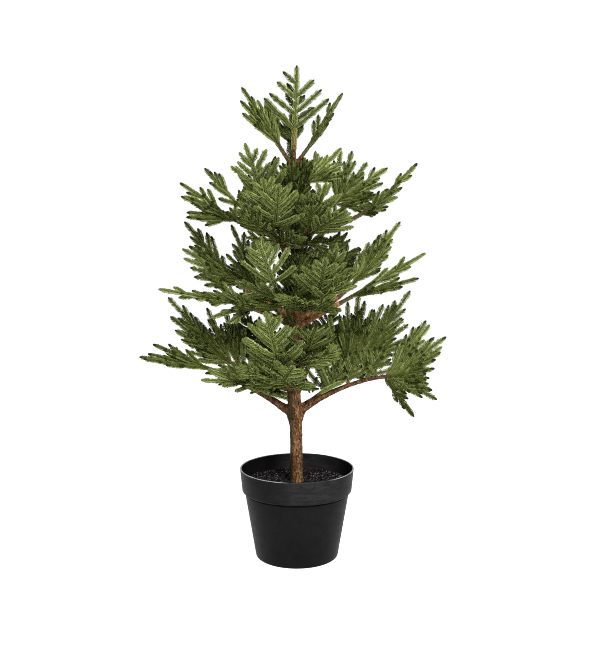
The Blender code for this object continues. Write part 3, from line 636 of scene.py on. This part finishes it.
def twig_tree():
    """A tapering rod along every line of the mesh, with its radius from the point attribute thick."""
    tree, start, end = new_tree("rods_along_shoots", (("Sides", "NodeSocketInt"), ("Material", "NodeSocketMaterial")))
    link = tree.links.new
    lines = tree.nodes.new("GeometryNodeMeshToCurve")
    link(start.outputs["Geometry"], lines.inputs["Mesh"])
    thick = add_node(tree, "GeometryNodeInputNamedAttribute", data_type="FLOAT")
    thick.inputs["Name"].default_value = "thick"
    ring = tree.nodes.new("GeometryNodeCurvePrimitiveCircle")
    ring.inputs["Radius"].default_value = 1.0
    link(start.outputs["Sides"], ring.inputs["Resolution"])
    rod = tree.nodes.new("GeometryNodeCurveToMesh")
    rod.inputs["Fill Caps"].default_value = True
    link(lines.outputs["Curve"], rod.inputs["Curve"])
    link(ring.outputs["Curve"], rod.inputs["Profile Curve"])
    link(thick.outputs["Attribute"], rod.inputs["Scale"])
    real = tree.nodes.new("GeometryNodeRealizeInstances")
    link(rod.outputs["Mesh"], real.inputs["Geometry"])
    finish = tree.nodes.new("GeometryNodeSetMaterial")
    link(real.outputs["Geometry"], finish.inputs["Geometry"])
    link(start.outputs["Material"], finish.inputs["Material"])
    link(finish.outputs["Geometry"], end.inputs["Geometry"])
    return tree


# Growth: boughs, sprays and shoots


Shoot = namedtuple("Shoot", "points face thick size tone mass woody")


def stem_value(height, column):
    """The stem's lean or half thickness at a height, read between the rows of STEM."""
    for low, high in zip(STEM, STEM[1:]):
        if height <= high[0]:
            share = max(0.0, (height - low[0]) / (high[0] - low[0]))
            return low[column] + (high[column] - low[column]) * share
    return STEM[-1][column]


def stem_point(height):
    return Vector((stem_value(height, 1), 0.0, height))


def limb_point(bough, share):
    """A point of the limb's centre line, from the stem's axis to the tip, on a parabola."""
    foot = stem_point(bough.root)
    tip = Vector(bough.tip)
    middle = (foot + tip) / 2 + UP * bough.lift * (tip - foot).length
    return foot * (1 - share) ** 2 + middle * (2 * share * (1 - share)) + tip * share**2


def limb_heading(bough, share):
    return (limb_point(bough, min(share + 0.03, 1.0)) - limb_point(bough, max(share - 0.03, 0.0))).normalized()


def limb_radius(bough, share):
    length = (Vector(bough.tip) - stem_point(bough.root)).length
    plain = (0.0018 + 0.016 * length) * (1 - 0.62 * share)
    collar = max(0.0, 1 - share / COLLAR_SHARE)
    return max(plain, min(plain * (1 + 0.45 * collar), 0.85 * stem_value(bough.root, 2)))


def near_side(heading, roll):
    """Across the bough, to its side nearer the front (the right-hand side where it points to the front or
    the back), tilted down by the roll."""
    side = heading.cross(UP).normalized()
    lean = side.y if abs(side.y) > 0.25 else -side.x
    if lean > 0:
        side = -side
    rise = side.cross(heading).normalized()
    if rise.z < 0:
        rise = -rise
    return (side * cos(radians(roll)) - rise * sin(radians(roll))).normalized()


def leaving_share(bough, turn):
    """Where a side spray leaves the limb: the more it turns, the nearer the stem."""
    share = 1 - min(abs(turn), 90) / 90
    return bough.entry + (0.99 - bough.last - bough.entry) * share


Spray = namedtuple("Spray", "start way across length width")


def side_spray(bough, share, turn, length, width, rise, tilt):
    """A spray that leaves the limb at an angle, with its rise off the fan's plane and its tilt round itself."""
    heading = limb_heading(bough, share)
    near = near_side(heading, bough.roll)
    face = near.cross(heading)
    if face.z < 0:
        face = -face
    way = (heading * cos(radians(turn)) + near * sin(radians(turn)) + face * rise).normalized()
    across = near * cos(radians(turn)) - heading * sin(radians(turn)) + face * tilt
    return Spray(limb_point(bough, share), way, across, length, width)


def sprays_of(bough, random):
    start = limb_point(bough, 1 - bough.last)
    along = Vector(bough.tip) - start
    way = along.normalized()
    found = [Spray(start, way, near_side(way, bough.roll), along.length, bough.width)]
    for turn, length in bough.fan:
        share = leaving_share(bough, turn)
        loose = 1.0 if bough.width >= BROAD else 0.25
        rise = random.uniform(-0.20, 0.06) * loose
        tilt = random.uniform(-0.40, 0.40) * loose
        found.append(side_spray(bough, share, turn, length, bough.width, rise, tilt))
    for number in range(bough.inner):
        share = min(0.62 * bough.entry, 0.21) + 0.22 * bough.entry * number + 0.04
        turn = random.uniform(40, 56) * (1 if number % 2 and bough.width >= BROAD else -1)
        length = random.uniform(0.045, 0.062)
        found.append(side_spray(bough, share, turn, length, 0.9, random.uniform(0.0, 0.25), random.uniform(-0.5, 0.5)))
    return found


def bent_line(start, way, length, bend, steps):
    """Points of a line that bends by the vector bend over its length."""
    points = []
    for k in range(steps + 1):
        share = k / steps
        points.append(start + way * length * share + bend * length * share * share)
    return points


def tone_for(bright, random):
    """The green of one spray: the brighter the bough, the lighter the greens it is dealt, partly painted light and
    shade.
    """
    level = bright + random.uniform(-0.28, 0.28)
    for limit, tone in ((0.15, "deep"), (0.42, "mid"), (0.62, "olive"), (0.86, "light")):
        if level < limit:
            return tone
    return "lime"


def pair_shoots(spray, random):
    """The side shoots of a broad, flat spray, in pairs: share of the axis, hand, reach and turn of each."""
    found = []
    pairs = max(2, round(spray.length * PAIR_STRETCH / PAIR_PITCH))
    for number in range(pairs):
        middle = 0.08 + PAIR_STRETCH * (number + 0.5) / pairs
        for hand in (-1, 1):
            share = middle + (0.03 if hand > 0 else -0.02) + random.uniform(-0.02, 0.02)
            reach = (0.012 + 0.50 * (1 - share) * spray.length) * random.uniform(0.8, 1.1)
            turn = PAIR_TURN + 20 * (0.7 - share) + random.uniform(-8, 8)
            found.append((share, hand, min(max(reach, 0.020), 0.058), turn))
    return found


def finger_shoots(spray, random):
    """The side shoots of a narrow spray: a few long ones that leave it in turn and run nearly along it."""
    found = []
    count = max(2, round(spray.length * 0.55 / FINGER_PITCH))
    first = random.choice((-1, 1))
    for number in range(count):
        share = 0.08 + 0.55 * (number + random.uniform(0.25, 0.75)) / count
        hand = first if number % 2 else -first
        reach = (0.50 - 0.34 * share) * (0.55 + 0.75 * spray.width) * spray.length * random.uniform(0.85, 1.12)
        found.append((share, hand, min(max(reach, 0.020), 0.052), 8 + 40 * spray.width + random.uniform(-5, 5)))
    return found


def shoots_of(spray, mass, tone, random):
    """The needled axis of a spray and the shoots along it."""
    side = (spray.across - spray.way * spray.across.dot(spray.way)).normalized()
    face = side.cross(spray.way)
    if face.z < 0:
        face = -face
    droop = face * random.uniform(-0.04, 0.03) + side * random.uniform(-0.03, 0.03)
    whole = spray.length - TIP_ALLOWANCE
    axis = bent_line(spray.start, spray.way, whole, droop, 8)
    found = [Shoot(axis, face, 0.0014, 1.0, tone, mass, True)]
    broad = spray.width >= BROAD
    for share, hand, reach, turn in (pair_shoots if broad else finger_shoots)(spray, random):
        start = spray.start + spray.way * whole * share + droop * whole * share * share
        way = spray.way * cos(radians(turn)) + side * hand * sin(radians(turn)) + face * random.uniform(-0.30, 0.35)
        bend = spray.way * random.uniform(0.05, 0.20) + UP * random.uniform(0.0, 0.12)
        line = bent_line(start, way.normalized(), reach - TIP_ALLOWANCE, bend, 4)
        found.append(Shoot(line, face, SHOOT_CORE, random.uniform(0.94, 1.06), tone, mass, False))
        if random.random() < 0.22:
            way = (spray.way * 0.8 + face * 0.6 + side * random.uniform(-0.2, 0.2)).normalized()
            line = bent_line(start, way, 0.018, spray.way * 0.1, 3)
            found.append(Shoot(line, side, SHOOT_CORE, 0.95, tone, mass, False))
    return found


def limb_shoot(bough, mass):
    """The needled end of the limb inside its mass, up to where the end spray starts."""
    shares = [bough.entry + (1 - bough.last - bough.entry) * k / 6 for k in range(7)]
    face = near_side(limb_heading(bough, 0.5), bough.roll).cross(limb_heading(bough, 0.5))
    line = [limb_point(bough, share) for share in shares]
    return Shoot(line, face, limb_radius(bough, bough.entry), 0.95, "deep", mass, True)


def leader_shoots():
    random = Random(41)
    mass = "foliage_leader"
    front = Vector((0, -1, 0))
    top = LEADER_TOP - TIP_ALLOWANCE
    axis = [stem_point(LEADER_FOOT + (top - LEADER_FOOT) * k / 8) for k in range(9)]
    found = [Shoot(axis, front, 0.0016, 1.0, "olive", mass, True)]
    for height, side, back, length, angle in LEADER_SHOOTS:
        way = Vector((side * sin(radians(angle)), back, cos(radians(angle)))).normalized()
        bend = UP * random.uniform(-0.02, 0.05)
        # Shoots that lean to the back are dealt the deep green: painted shade, as on the back boughs.
        tone = random.choice(("mid", "mid", "olive", "light")) if abs(back) < 0.3 else "deep"
        line = bent_line(stem_point(height), way, length - TIP_ALLOWANCE, bend, 4)
        found.append(Shoot(line, front, SHOOT_CORE, random.uniform(0.98, 1.08), tone, mass, False))
    return found


def stem_sprays():
    """Small sprays that rise from the stem itself and clothe it between the whorls."""
    random = Random(77)
    found = []
    for first, last, count in STEM_CLOTHING:
        for number in range(count):
            height = first + (last - first) * (number + 0.5) / count
            turn = radians(-90 + 137.5 * number)
            if height < OPEN_BELOW and cos(turn) > -0.1:
                continue
            out = Vector((cos(turn), sin(turn), 0))
            way = (out * 0.42 + UP * random.uniform(0.8, 1.1)).normalized()
            across = out.cross(UP)
            length = random.uniform(0.048, 0.070)
            spray = Spray(stem_point(height), way, across, length, 0.9)
            found += shoots_of(spray, "foliage_leader", random.choice(("deep", "mid", "mid", "olive")), random)
    return found


def fork_shoots():
    random = Random(12)
    found = []
    for start, end, tone, mass in FORK_SHOOTS:
        along = Vector(end) - Vector(start)
        line = bent_line(Vector(start), along.normalized(), along.length, UP * random.uniform(-0.08, 0.08), 4)
        found.append(Shoot(line, Vector((0, -1, 0)), SHOOT_CORE, 0.85, tone, "foliage_" + mass, False))
    return found


def grow():
    """Every shoot of the tree."""
    found = leader_shoots() + stem_sprays() + fork_shoots()
    for number, bough in enumerate(BOUGHS):
        random = Random(1000 + 17 * number)
        mass = "foliage_" + bough.name
        if 1 - bough.last > bough.entry + 0.02:
            found.append(limb_shoot(bough, mass))
        for spray in sprays_of(bough, random):
            found += shoots_of(spray, mass, tone_for(bough.bright, random), random)
    return found


# Plant pieces


def line_mesh(name, shoots):
    """The shoots' centre lines as edges, with the attributes that the node trees read."""
    points = []
    edges = []
    faces = []
    sizes = []
    thicks = []
    for shoot in shoots:
        first = len(points)
        count = len(shoot.points)
        points += [tuple(point) for point in shoot.points]
        edges += [(first + k, first + k + 1) for k in range(count - 1)]
        faces += [tuple(shoot.face)] * count
        sizes += [shoot.size] * count
        end = min(shoot.thick, SHOOT_CORE) * 0.7
        thicks += [shoot.thick + (end - shoot.thick) * k / (count - 1) for k in range(count)]
    mesh = bpy.data.meshes.new(name)
    mesh.from_pydata(points, edges, [])
    attribute = mesh.attributes.new("face", "FLOAT_VECTOR", "POINT")
    attribute.data.foreach_set("vector", [channel for face in faces for channel in face])
    mesh.attributes.new("size", "FLOAT", "POINT").data.foreach_set("value", sizes)
    mesh.attributes.new("thick", "FLOAT", "POINT").data.foreach_set("value", thicks)
    return mesh


def line_length(points):
    return sum((b - a).length for a, b in zip(points, points[1:]))


def whorl_count(shoot):
    return round(line_length(shoot.points) / WHORL_PITCH) + 1


def in_batches(shoots):
    """Split the shoots so that no batch of needles passes PIECE_TRIANGLES."""
    limit = PIECE_TRIANGLES // (NEEDLE_TRIANGLES * len(WHORL))
    batches = [[]]
    count = 0
    for shoot in shoots:
        more = whorl_count(shoot)
        if count + more > limit:
            batches.append([])
            count = 0
        batches[-1].append(shoot)
        count += more
    return batches


def make_needles(shoots):
    whorl = add_object("whorl_model", whorl_mesh())
    tree = needle_tree()
    pieces = []
    for seed, (tone, colour) in enumerate(GREENS.items()):
        own = [shoot for shoot in shoots if shoot.tone == tone]
        if not own:
            continue
        finish = needle_material("needles_" + tone, colour)
        highlight_finish = needle_material("pale_needles_" + tone, painted_highlight(colour))
        for number, batch in enumerate(in_batches(own)):
            name = f"needles_{tone}_{number + 1}"
            piece = add_object(name, line_mesh(name, batch))
            run_tree(piece, tree, {"Pitch": WHORL_PITCH, "Whorl": whorl, "Seed": seed, "Material": finish,
                                   "Pale material": highlight_finish})
            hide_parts(*sorted({shoot.mass for shoot in batch}))
            pieces.append(piece)
    bpy.data.objects.remove(whorl, do_unlink=True)
    return pieces


def make_twigs(shoots):
    tree = twig_tree()
    pieces = []
    for name, woody, sides, finish in (("spray_stems", True, 6, twig_material("brown_stem", WOOD_STOPS)),
                                       ("shoot_stems", False, 4, twig_material("olive_stem", STEM_STOPS))):
        piece = add_object(name, line_mesh(name, [shoot for shoot in shoots if shoot.woody == woody]))
        run_tree(piece, tree, {"Sides": sides, "Material": finish})
        pieces.append(piece)
    return pieces


def make_buds(shoots):
    """A blunt bud of folded needles at the end of every shoot: green on the light sprays, dark on the rest."""
    model = add_object("bud_model", bud_mesh())
    tree = bud_tree()
    green = [shoot for shoot in shoots if shoot.tone in GREEN_BUDDED]
    dark = [shoot for shoot in shoots if shoot.tone not in GREEN_BUDDED]
    pieces = []
    for name, own, stops in (("dark_tips", dark, DARK_BUD), ("green_tips", green, GREEN_BUD)):
        piece = add_object(name, line_mesh(name, own))
        run_tree(piece, tree, {"Bud": model, "Seed": 7, "Material": bud_material(name, *stops)})
        pieces.append(piece)
    bpy.data.objects.remove(model, do_unlink=True)
    return pieces


# Bark


def add_tube(bm, points, radii, sides):
    """A closed tapering tube through the points."""
    rings = []
    for k, (point, radius) in enumerate(zip(points, radii)):
        before = points[max(k - 1, 0)]
        after = points[min(k + 1, len(points) - 1)]
        along = (after - before).normalized()
        first = along.cross(Vector((0, 1, 0.1))).normalized()
        second = along.cross(first)
        ring = []
        for step in range(sides):
            turn = 2 * pi * step / sides
            ring.append(bm.verts.new(point + (first * cos(turn) + second * sin(turn)) * radius))
        rings.append(ring)
    for low, high in zip(rings, rings[1:]):
        for step in range(sides):
            after = (step + 1) % sides
            bm.faces.new((low[step], low[after], high[after], high[step]))
    bm.faces.new(list(reversed(rings[0])))
    bm.faces.new(rings[-1])


def bark_height(point, limb):
    """Relief of the bark at a point: long plates with cracks, and small scales over them."""
    stretched = Vector((point.x, point.y, point.z * 0.45))
    plates = noise.fractal(stretched * 210, 0.8, 2.0, 3)
    scales = noise.voronoi(stretched * 330)[0][0]
    height = plates * 0.00055 - scales * 0.0006
    return height * (0.62 if limb else 1.0)


def make_bark():
    """Trunk and boughs in one skin: tubes melted together, then carved with the bark's relief."""
    bm = bmesh.new()
    add_tube(bm, [Vector((lean, 0, height)) for height, lean, _ in STEM], [radius for _, _, radius in STEM], 20)
    for bough in BOUGHS:
        end = bough.entry + 0.10
        shares = [end * k / 14 for k in range(15)]
        points = [limb_point(bough, share) for share in shares]
        radii = [limb_radius(bough, share) for share in shares]
        heading = Vector((bough.tip[0], bough.tip[1], 0)).normalized()
        depth = stem_value(bough.root, 2)
        collar = stem_point(bough.root - 0.6 * depth - 0.005) + heading * depth * 0.45
        add_tube(bm, [collar] + points[1:], [radii[0] * 0.75] + radii[1:], 12)
    bmesh.ops.recalc_face_normals(bm, faces=bm.faces)
    mesh = bpy.data.meshes.new("trunk_and_boughs")
    bm.to_mesh(mesh)
    bm.free()
    piece = add_object("trunk_and_boughs", mesh)
    melt = piece.modifiers.new("melt", "REMESH")
    melt.mode = "VOXEL"
    melt.voxel_size = 0.00125
    even = piece.modifiers.new("even", "SMOOTH")
    even.factor = 0.6
    even.iterations = 3
    plain_mesh(piece)
    mesh = piece.data
    normals = [vertex.normal.copy() for vertex in mesh.vertices]
    shares = []
    for vertex, normal in zip(mesh.vertices, normals):
        point = vertex.co
        away = (Vector((point.x - stem_value(point.z, 1), point.y, 0))).length
        radius = stem_value(point.z, 2)
        share = min(max((away - radius * 1.15) / 0.006, 0.0), 1.0)
        shares.append(share)
        vertex.co = point + normal * bark_height(point, share > 0.5)
    mesh.attributes.new("limb", "FLOAT", "POINT").data.foreach_set("value", shares)
    mesh.shade_smooth()
    mesh.materials.append(bark_material())
    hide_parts("trunk", *["bough_" + bough.name for bough in BOUGHS])
    return piece


# Pot and filling


def arc(centre_r, centre_z, radius, first, last, steps):
    """Points of a round corner, by angle in degrees from outwards."""
    points = []
    for k in range(steps + 1):
        turn = radians(first + (last - first) * k / steps)
        points.append((centre_r + radius * cos(turn), centre_z + radius * sin(turn)))
    return points


def turned(name, profile, steps):
    """A turned solid from a profile of (radius, height)."""
    mesh = bpy.data.meshes.new(name)
    mesh.from_pydata([(radius, 0, height) for radius, height in profile], [(k, k + 1) for k in range(len(profile) - 1)], [])
    piece = add_object(name, mesh)
    screw = piece.modifiers.new("turn", "SCREW")
    screw.axis = "Z"
    screw.steps = steps
    screw.render_steps = steps
    screw.use_merge_vertices = True
    screw.merge_threshold = 1e-5
    screw.use_normal_calculate = True
    plain_mesh(piece)
    bm = bmesh.new()
    bm.from_mesh(piece.data)
    bmesh.ops.remove_doubles(bm, verts=bm.verts, dist=1e-6)
    bmesh.ops.recalc_face_normals(bm, faces=bm.faces)
    bm.to_mesh(piece.data)
    bm.free()
    piece.data.shade_smooth()
    piece.data.set_sharp_from_angle(angle=radians(38))
    return piece


def make_pot():
    lip = WALL / 2
    ledge = BAND_FOOT_HEIGHT + WALL
    profile = [(0.0, FLOOR), (BASE_RADIUS - WALL - 0.004, FLOOR)]
    profile += arc(BASE_RADIUS - WALL - 0.004, FLOOR + 0.004, 0.004, -90, -10, 5)
    profile += [(BODY_TOP_RADIUS - WALL, BODY_TOP_HEIGHT), (BAND_FOOT_RADIUS - WALL, ledge)]
    profile += arc(RIM_RADIUS - lip, RIM_HEIGHT - lip, lip, 180, 0, 8)
    profile += arc(BAND_FOOT_RADIUS - 0.0014, BAND_FOOT_HEIGHT + 0.0016, 0.0016, 5, -60, 6)
    profile += arc(BODY_TOP_RADIUS + 0.0010, BODY_TOP_HEIGHT - 0.0002, 0.0012, 130, 200, 4)
    profile += arc(BASE_RADIUS - 0.0030, 0.0030, 0.0030, -5, -90, 6)
    profile += [(0.0, 0.0)]
    piece = turned("pot_shell", profile, POT_STEPS)
    piece.data.materials.append(pot_material())
    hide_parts("pot")
    return piece


def make_fill():
    """The filling: a turned plug with an uneven top of crumb."""
    top = []
    for k in range(26):
        share = k / 25
        top.append((0.0895 * share, FILL_HEIGHT - 0.0024 * share**2))
    inner = BASE_RADIUS - WALL - 0.0008
    profile = top + [(BODY_TOP_RADIUS - WALL - 0.0008, BODY_TOP_HEIGHT - 0.001), (inner, FLOOR + 0.001), (0.0, FLOOR + 0.001)]
    profile[len(top) - 1] = (BAND_FOOT_RADIUS - WALL - 0.0008 + 0.0008, FILL_HEIGHT - 0.0024)
    plug = turned("growing_medium_top", profile, 96)
    for vertex in plug.data.vertices:
        point = vertex.co
        if point.z > FILL_HEIGHT - 0.004 and Vector((point.x, point.y, 0)).length < 0.0885:
            point.z += 0.0016 * noise.fractal(point * 160, 0.7, 2.1, 3) - 0.0004
    plug.data.materials.append(crumb_material())
    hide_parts("growing_medium")
    return plug


def crumb_tree():
    """Crumbs scattered over a disc, each turned and sized at random."""
    tree, start, end = new_tree("crumbs", (
        ("Crumb", "NodeSocketObject"), ("Density", "NodeSocketFloat"), ("Seed", "NodeSocketInt"),
        ("Material", "NodeSocketMaterial")))
    link = tree.links.new
    scatter = tree.nodes.new("GeometryNodeDistributePointsOnFaces")
    link(start.outputs["Geometry"], scatter.inputs["Mesh"])
    link(start.outputs["Density"], scatter.inputs["Density"])
    link(start.outputs["Seed"], scatter.inputs["Seed"])
    spin = add_node(tree, "FunctionNodeRandomValue", data_type="FLOAT_VECTOR")
    spin.inputs[1].default_value = (6.28, 6.28, 6.28)
    link(start.outputs["Seed"], spin.inputs["Seed"])
    size = add_node(tree, "FunctionNodeRandomValue", data_type="FLOAT_VECTOR")
    size.inputs[0].default_value = (0.45, 0.45, 0.35)
    size.inputs[1].default_value = (1.35, 1.15, 0.95)
    link(start.outputs["Seed"], size.inputs["Seed"])
    model = tree.nodes.new("GeometryNodeObjectInfo")
    link(start.outputs["Crumb"], model.inputs["Object"])
    place = tree.nodes.new("GeometryNodeInstanceOnPoints")
    link(scatter.outputs["Points"], place.inputs["Points"])
    link(model.outputs["Geometry"], place.inputs["Instance"])
    link(spin.outputs[0], place.inputs["Rotation"])
    link(size.outputs[0], place.inputs["Scale"])
    real = tree.nodes.new("GeometryNodeRealizeInstances")
    link(place.outputs["Instances"], real.inputs["Geometry"])
    finish = tree.nodes.new("GeometryNodeSetMaterial")
    link(real.outputs["Geometry"], finish.inputs["Geometry"])
    link(start.outputs["Material"], finish.inputs["Material"])
    link(finish.outputs["Geometry"], end.inputs["Geometry"])
    return tree


def make_crumbs():
    bm = bmesh.new()
    bmesh.ops.create_icosphere(bm, subdivisions=1, radius=0.0026)
    random = Random(5)
    for vertex in bm.verts:
        vertex.co *= random.uniform(0.6, 1.2)
    mesh = bpy.data.meshes.new("crumb")
    bm.to_mesh(mesh)
    bm.free()
    crumb = add_object("crumb_model", mesh)
    bm = bmesh.new()
    bmesh.ops.create_circle(bm, cap_ends=True, cap_tris=True, segments=64, radius=0.0855,
                            matrix=Matrix.Translation((0, 0, FILL_HEIGHT - 0.0008)))
    mesh = bpy.data.meshes.new("crumbs")
    bm.to_mesh(mesh)
    bm.free()
    piece = add_object("crumbs", mesh)
    finish = crumb_material()
    run_tree(piece, crumb_tree(), {"Crumb": crumb, "Density": 120000.0, "Seed": 3, "Material": finish})
    bpy.data.objects.remove(crumb, do_unlink=True)
    return piece


# Stage, light and camera


def make_stage():
    bm = bmesh.new()
    bmesh.ops.create_grid(bm, x_segments=1, y_segments=1, size=4.0)
    mesh = bpy.data.meshes.new("floor")
    bm.to_mesh(mesh)
    bm.free()
    floor = add_object("floor", mesh)
    finish, _, shader = new_material("pale_floor", (0.80, 0.80, 0.80), 0.9)
    shader.inputs["Emission Color"].default_value = (1, 1, 1, 1)
    shader.inputs["Emission Strength"].default_value = 0.80
    floor.data.materials.append(finish)


def add_area(name, place, aim, size, power):
    lamp = bpy.data.lights.new(name, "AREA")
    lamp.shape = "RECTANGLE"
    lamp.size, lamp.size_y = size
    lamp.energy = power
    obj = add_object(name, lamp)
    obj.location = place
    obj.rotation_euler = (Vector(aim) - Vector(place)).to_track_quat("-Z", "Y").to_euler()


def make_light():
    world = bpy.data.worlds.new("studio")
    bpy.context.scene.world = world
    world.use_nodes = True
    tree = world.node_tree
    tree.nodes.clear()
    out = tree.nodes.new("ShaderNodeOutputWorld")
    seen = tree.nodes.new("ShaderNodeBackground")
    seen.inputs["Strength"].default_value = 1.0
    lit = tree.nodes.new("ShaderNodeBackground")
    lit.inputs["Strength"].default_value = 0.30
    path = tree.nodes.new("ShaderNodeLightPath")
    mix = tree.nodes.new("ShaderNodeMixShader")
    for background in (seen, lit):
        background.inputs["Color"].default_value = (1, 1, 1, 1)
    tree.links.new(path.outputs["Is Camera Ray"], mix.inputs[0])
    tree.links.new(lit.outputs[0], mix.inputs[1])
    tree.links.new(seen.outputs[0], mix.inputs[2])
    tree.links.new(mix.outputs[0], out.inputs[0])
    middle = (0, 0, 0.45)
    add_area("front_light", (0.9, -2.0, 1.9), middle, (1.0, 1.0), 88)
    add_area("left_light", (-1.8, -1.0, 1.5), middle, (0.8, 1.4), 14)


def make_camera():
    camera = bpy.data.cameras.new("camera")
    camera.sensor_width = SENSOR_MM
    camera.lens = FOCAL_LENGTH * SENSOR_MM / PHOTO_HEIGHT
    obj = add_object("camera", camera)
    obj.location = CAMERA_AT
    obj.rotation_euler = (pi / 2 - CAMERA_DIP, 0, 0)
    bpy.context.scene.camera = obj
    bpy.context.scene.view_settings.view_transform = "Standard"
    bpy.context.scene.cycles.filter_width = 1.0
    bpy.context.scene.cycles.use_denoising = False


def build():
    make_camera()
    make_light()
    make_stage()
    shoots = grow()
    pieces = make_needles(shoots)
    pieces += make_twigs(shoots)
    pieces += make_buds(shoots)
    pieces += [make_bark(), make_pot(), make_fill(), make_crumbs()]
    for piece in pieces:
        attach(piece, "root")
        print(piece.name, sum(len(face.vertices) - 2 for face in piece.data.polygons))


build()
